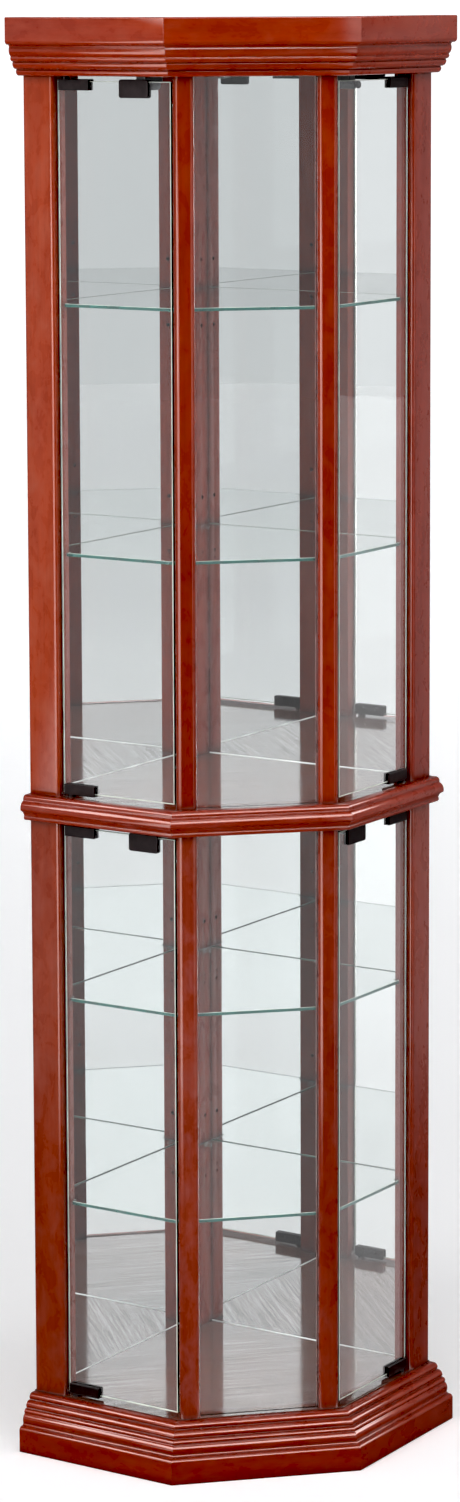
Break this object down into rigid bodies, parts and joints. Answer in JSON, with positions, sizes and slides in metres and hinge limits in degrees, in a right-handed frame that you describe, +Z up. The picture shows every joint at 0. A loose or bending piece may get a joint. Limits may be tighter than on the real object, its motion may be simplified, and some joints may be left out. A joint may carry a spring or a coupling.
{
  "type": "corner curio cabinet",
  "caption": "Tall two-section corner display cabinet with glass doors on the slanted sides, a fixed front pane, mirrored walls, glass shelves and moulded crown, waist and base.",
  "frame": {"origin": "on the floor, at the middle of the footprint's bounding box", "axes": "+Z up, +Y towards the back corner, -Y out of the front pane, +X to the viewer's right"},
  "size_m": [0.5608, 0.4416, 1.78],
  "materials": {
    "cherry_wood": "satin lacquer over reddish brown stain",
    "back_board": "plain brown hardboard",
    "softwood": "unfinished",
    "mirror_glass": "silvered",
    "door_glass": "clear, polished edges",
    "pane_glass": "clear",
    "shelf_glass": "clear with green polished edges",
    "clear_plastic": "clear",
    "latch_plastic": "black",
    "nylon": "black",
    "hinge_metal": "satin black brown",
    "plunger_steel": "black"
  },
  "bodies": {
    "cabinet": {"crown_molding_left": "cherry_wood", "crown_molding_front": "cherry_wood", "crown_molding_right": "cherry_wood", "waist_molding_left": "cherry_wood", "waist_molding_front": "cherry_wood", "waist_molding_right": "cherry_wood", "base_molding_left": "cherry_wood", "base_molding_front": "cherry_wood", "base_molding_right": "cherry_wood", "crown_top_panel": "cherry_wood", "upper_left_post": "cherry_wood", "upper_right_post": "cherry_wood", "upper_front_left_post": "cherry_wood", "upper_front_right_post": "cherry_wood", "upper_back_post": "cherry_wood", "upper_mirror_left": "mirror_glass", "upper_mirror_right": "mirror_glass", "upper_front_glass": "pane_glass", "upper_floor_board": "cherry_wood", "upper_ceiling_board": "cherry_wood", "upper_top_shelf": "shelf_glass", "upper_bottom_shelf": "shelf_glass", "lower_left_post": "cherry_wood", "lower_right_post": "cherry_wood", "lower_front_left_post": "cherry_wood", "lower_front_right_post": "cherry_wood", "lower_back_post": "cherry_wood", "lower_mirror_left": "mirror_glass", "lower_mirror_right": "mirror_glass", "lower_front_glass": "pane_glass", "lower_floor_board": "cherry_wood", "lower_ceiling_board": "cherry_wood", "lower_top_shelf": "shelf_glass", "lower_bottom_shelf": "shelf_glass", "back_panel_left": "back_board", "back_panel_right": "back_board", "shelf_pins": "clear_plastic", "latch_bodies": "latch_plastic", "pivot_bushes": "nylon", "door_bumpers": "clear_plastic", "base_blocks": "softwood"},
    "upper_left_door": {"upper_left_door_glass": "door_glass", "upper_left_door_hinges": "hinge_metal", "upper_left_door_strike": "hinge_metal"},
    "upper_right_door": {"upper_right_door_glass": "door_glass", "upper_right_door_hinges": "hinge_metal"},
    "lower_left_door": {"lower_left_door_glass": "door_glass", "lower_left_door_hinges": "hinge_metal", "lower_left_door_strike": "hinge_metal"},
    "lower_right_door": {"lower_right_door_glass": "door_glass", "lower_right_door_hinges": "hinge_metal", "lower_right_door_strike": "hinge_metal"},
    "upper_left_latch": {"upper_left_latch_plunger": "plunger_steel"},
    "upper_right_latch": {"upper_right_latch_plunger": "plunger_steel"},
    "lower_left_latch": {"lower_left_latch_plunger": "plunger_steel"},
    "lower_right_latch": {"lower_right_latch_plunger": "plunger_steel"}
  },
  "joints": [
    {"name": "upper_left_door_hinge", "type": "hinge", "parent": "cabinet", "child": "upper_left_door", "pos_m": [-0.20824, -0.0681, 1.2708], "axis": [0, 0, -1], "range_deg": [0, 105]},
    {"name": "upper_right_door_hinge", "type": "hinge", "parent": "cabinet", "child": "upper_right_door", "pos_m": [0.20824, -0.0681, 1.2708], "axis": [0, 0, 1], "range_deg": [0, 105]},
    {"name": "lower_left_door_hinge", "type": "hinge", "parent": "cabinet", "child": "lower_left_door", "pos_m": [-0.20824, -0.0681, 0.4355], "axis": [0, 0, -1], "range_deg": [0, 105]},
    {"name": "lower_right_door_hinge", "type": "hinge", "parent": "cabinet", "child": "lower_right_door", "pos_m": [0.20824, -0.0681, 0.4355], "axis": [0, 0, 1], "range_deg": [0, 105]},
    {"name": "upper_left_latch_slide", "type": "slide", "parent": "cabinet", "child": "upper_left_latch", "axis": [0.7071, 0.7071, 0], "range_m": [0, 0.003], "stiffness_N_per_m": 300},
    {"name": "upper_right_latch_slide", "type": "slide", "parent": "cabinet", "child": "upper_right_latch", "axis": [-0.7071, 0.7071, 0], "range_m": [0, 0.003], "stiffness_N_per_m": 300},
    {"name": "lower_left_latch_slide", "type": "slide", "parent": "cabinet", "child": "lower_left_latch", "axis": [0.7071, 0.7071, 0], "range_m": [0, 0.003], "stiffness_N_per_m": 300},
    {"name": "lower_right_latch_slide", "type": "slide", "parent": "cabinet", "child": "lower_right_latch", "axis": [-0.7071, 0.7071, 0], "range_m": [0, 0.003], "stiffness_N_per_m": 300}
  ]
}
